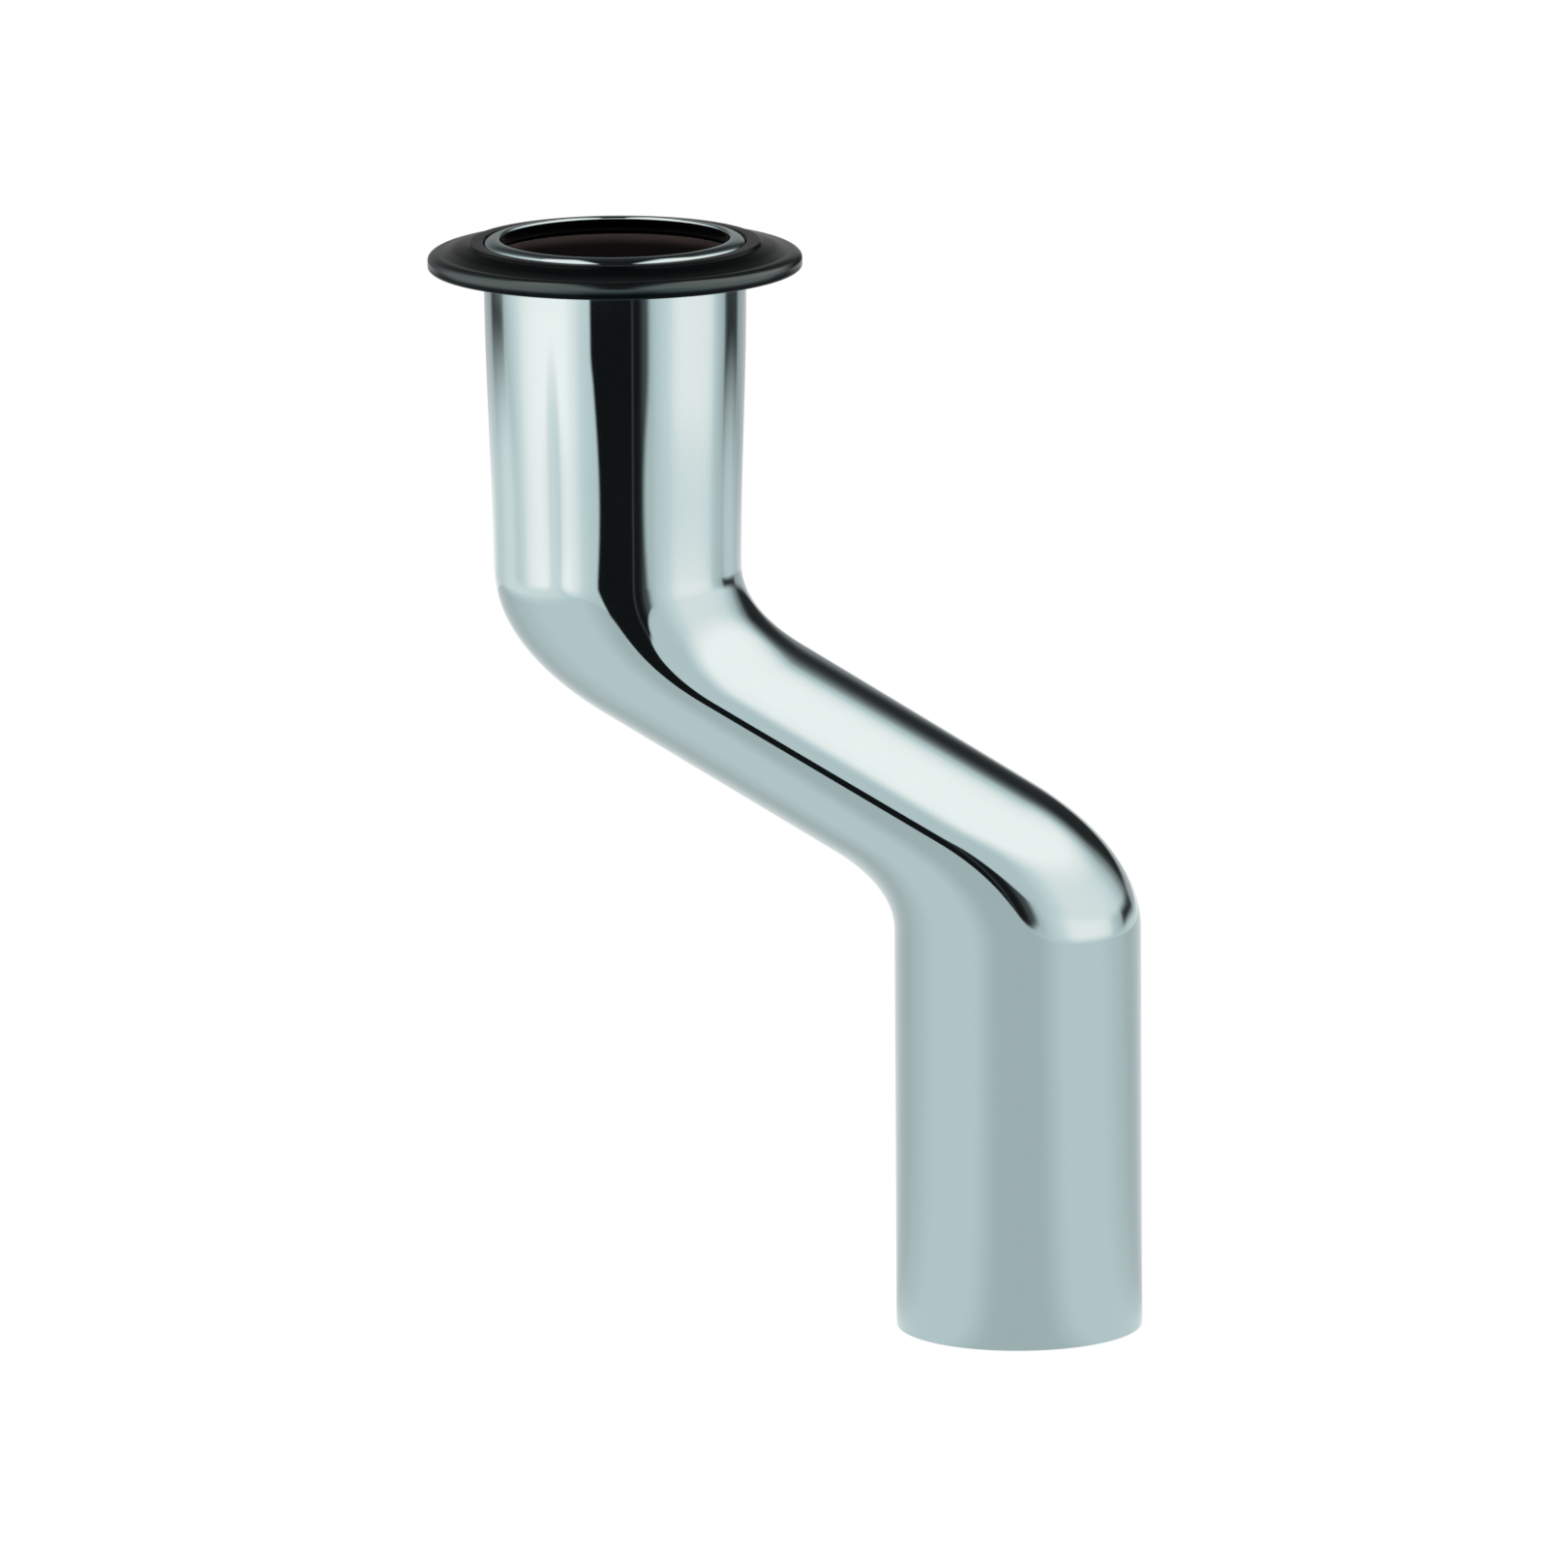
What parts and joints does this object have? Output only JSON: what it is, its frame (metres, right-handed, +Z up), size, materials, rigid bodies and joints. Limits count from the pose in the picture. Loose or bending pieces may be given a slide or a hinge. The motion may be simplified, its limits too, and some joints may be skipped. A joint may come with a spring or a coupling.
{
  "type": "offset trap inlet tube",
  "caption": "Chrome S-bend offset tube for a basin trap: a swaged, beaded inlet carries a black rubber sealing ring, and the outlet leg is cut plain.",
  "frame": {"origin": "centre of the inlet rim, on the axis of the inlet leg", "axes": "+Z up along the inlet leg and out of the inlet mouth, +X from the inlet leg's axis towards the outlet leg's axis, +Y across the flat plane of the S"},
  "size_m": [0.0916, 0.0482, 0.144],
  "materials": {
    "chrome": "polished chrome plate on a brass tube",
    "rubber": "moulded black rubber with a soft sheen"
  },
  "bodies": {
    "tube": {"offset_tube": "chrome"},
    "ring": {"rubber_ring": "rubber"}
  },
  "joints": [
    {"name": "ring_slide", "type": "slide", "parent": "tube", "child": "ring", "axis": [0, 0, 1], "range_m": [0, 0.015]}
  ]
}
